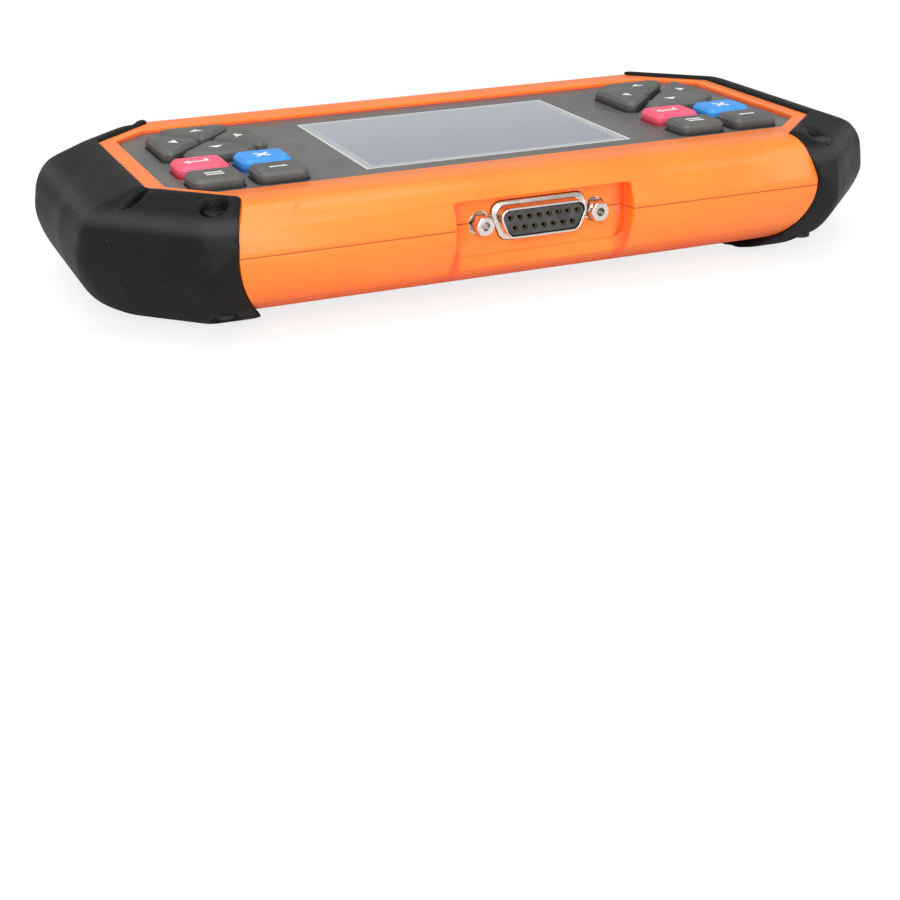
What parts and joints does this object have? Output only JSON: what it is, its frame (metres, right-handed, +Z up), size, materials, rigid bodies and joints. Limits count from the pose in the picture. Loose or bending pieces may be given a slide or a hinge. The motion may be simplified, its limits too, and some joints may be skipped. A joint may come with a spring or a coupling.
{
  "type": "handheld diagnostic scanner",
  "caption": "Handheld vehicle diagnostic scanner: orange two-part housing, black rubber end boots, colour display, two key pads and a 15-way D connector in a side pocket.",
  "frame": {"origin": "middle of the base, on the surface the boots rest on", "axes": "+Z up out of the display, +X along the body towards the right-hand key pad, -Y out of the connector"},
  "size_m": [0.236, 0.1182, 0.0381],
  "materials": {
    "orange_plastic": "satin moulded ABS",
    "boot_rubber": "matte moulded rubber",
    "plate_plastic": "satin",
    "window_glass": "gloss",
    "tinned_steel": "bright",
    "display_panel": "gloss",
    "board": "solder mask",
    "mat_rubber": "matte",
    "black_plastic": "matte",
    "nickel": "nickel plate",
    "contact_gold": "gold flash",
    "screw_steel": "dark zinc",
    "key_grey": "satin silicone",
    "key_red": "satin silicone",
    "key_blue": "satin silicone"
  },
  "bodies": {
    "housing": {"upper_shell": "orange_plastic", "lower_shell": "orange_plastic", "left_boot": "boot_rubber", "right_boot": "boot_rubber", "faceplate": "plate_plastic", "display_window": "window_glass", "lcd_frame": "tinned_steel", "lcd_panel": "display_panel", "panel_board": "board", "main_board": "board", "left_keypad_mat": "mat_rubber", "right_keypad_mat": "mat_rubber", "key_domes": "tinned_steel", "board_spacers": "tinned_steel", "board_screws": "tinned_steel", "board_link": "black_plastic", "connector_shell": "nickel", "connector_insulator": "black_plastic", "connector_contacts": "contact_gold", "connector_brackets": "nickel", "jackscrews": "nickel", "top_screws": "screw_steel", "bottom_screws": "screw_steel"},
    "left_key_up": {"left_key_up": "key_grey"},
    "left_key_down": {"left_key_down": "key_grey"},
    "left_key_left": {"left_key_left": "key_grey"},
    "left_key_right": {"left_key_right": "key_grey"},
    "left_key_enter": {"left_key_enter": "key_red"},
    "left_key_escape": {"left_key_escape": "key_blue"},
    "left_key_one": {"left_key_one": "key_grey"},
    "left_key_two": {"left_key_two": "key_grey"},
    "right_key_up": {"right_key_up": "key_grey"},
    "right_key_down": {"right_key_down": "key_grey"},
    "right_key_left": {"right_key_left": "key_grey"},
    "right_key_right": {"right_key_right": "key_grey"},
    "right_key_enter": {"right_key_enter": "key_red"},
    "right_key_escape": {"right_key_escape": "key_blue"},
    "right_key_one": {"right_key_one": "key_grey"},
    "right_key_two": {"right_key_two": "key_grey"}
  },
  "joints": [
    {"name": "left_key_up_press", "type": "slide", "parent": "housing", "child": "left_key_up", "axis": [0, 0, -1], "range_m": [0, 0.001], "stiffness_N_per_m": 900},
    {"name": "left_key_down_press", "type": "slide", "parent": "housing", "child": "left_key_down", "axis": [0, 0, -1], "range_m": [0, 0.001], "stiffness_N_per_m": 900},
    {"name": "left_key_left_press", "type": "slide", "parent": "housing", "child": "left_key_left", "axis": [0, 0, -1], "range_m": [0, 0.001], "stiffness_N_per_m": 900},
    {"name": "left_key_right_press", "type": "slide", "parent": "housing", "child": "left_key_right", "axis": [0, 0, -1], "range_m": [0, 0.001], "stiffness_N_per_m": 900},
    {"name": "left_key_enter_press", "type": "slide", "parent": "housing", "child": "left_key_enter", "axis": [0, 0, -1], "range_m": [0, 0.001], "stiffness_N_per_m": 900},
    {"name": "left_key_escape_press", "type": "slide", "parent": "housing", "child": "left_key_escape", "axis": [0, 0, -1], "range_m": [0, 0.001], "stiffness_N_per_m": 900},
    {"name": "left_key_one_press", "type": "slide", "parent": "housing", "child": "left_key_one", "axis": [0, 0, -1], "range_m": [0, 0.001], "stiffness_N_per_m": 900},
    {"name": "left_key_two_press", "type": "slide", "parent": "housing", "child": "left_key_two", "axis": [0, 0, -1], "range_m": [0, 0.001], "stiffness_N_per_m": 900},
    {"name": "right_key_up_press", "type": "slide", "parent": "housing", "child": "right_key_up", "axis": [0, 0, -1], "range_m": [0, 0.001], "stiffness_N_per_m": 900},
    {"name": "right_key_down_press", "type": "slide", "parent": "housing", "child": "right_key_down", "axis": [0, 0, -1], "range_m": [0, 0.001], "stiffness_N_per_m": 900},
    {"name": "right_key_left_press", "type": "slide", "parent": "housing", "child": "right_key_left", "axis": [0, 0, -1], "range_m": [0, 0.001], "stiffness_N_per_m": 900},
    {"name": "right_key_right_press", "type": "slide", "parent": "housing", "child": "right_key_right", "axis": [0, 0, -1], "range_m": [0, 0.001], "stiffness_N_per_m": 900},
    {"name": "right_key_enter_press", "type": "slide", "parent": "housing", "child": "right_key_enter", "axis": [0, 0, -1], "range_m": [0, 0.001], "stiffness_N_per_m": 900},
    {"name": "right_key_escape_press", "type": "slide", "parent": "housing", "child": "right_key_escape", "axis": [0, 0, -1], "range_m": [0, 0.001], "stiffness_N_per_m": 900},
    {"name": "right_key_one_press", "type": "slide", "parent": "housing", "child": "right_key_one", "axis": [0, 0, -1], "range_m": [0, 0.001], "stiffness_N_per_m": 900},
    {"name": "right_key_two_press", "type": "slide", "parent": "housing", "child": "right_key_two", "axis": [0, 0, -1], "range_m": [0, 0.001], "stiffness_N_per_m": 900}
  ]
}
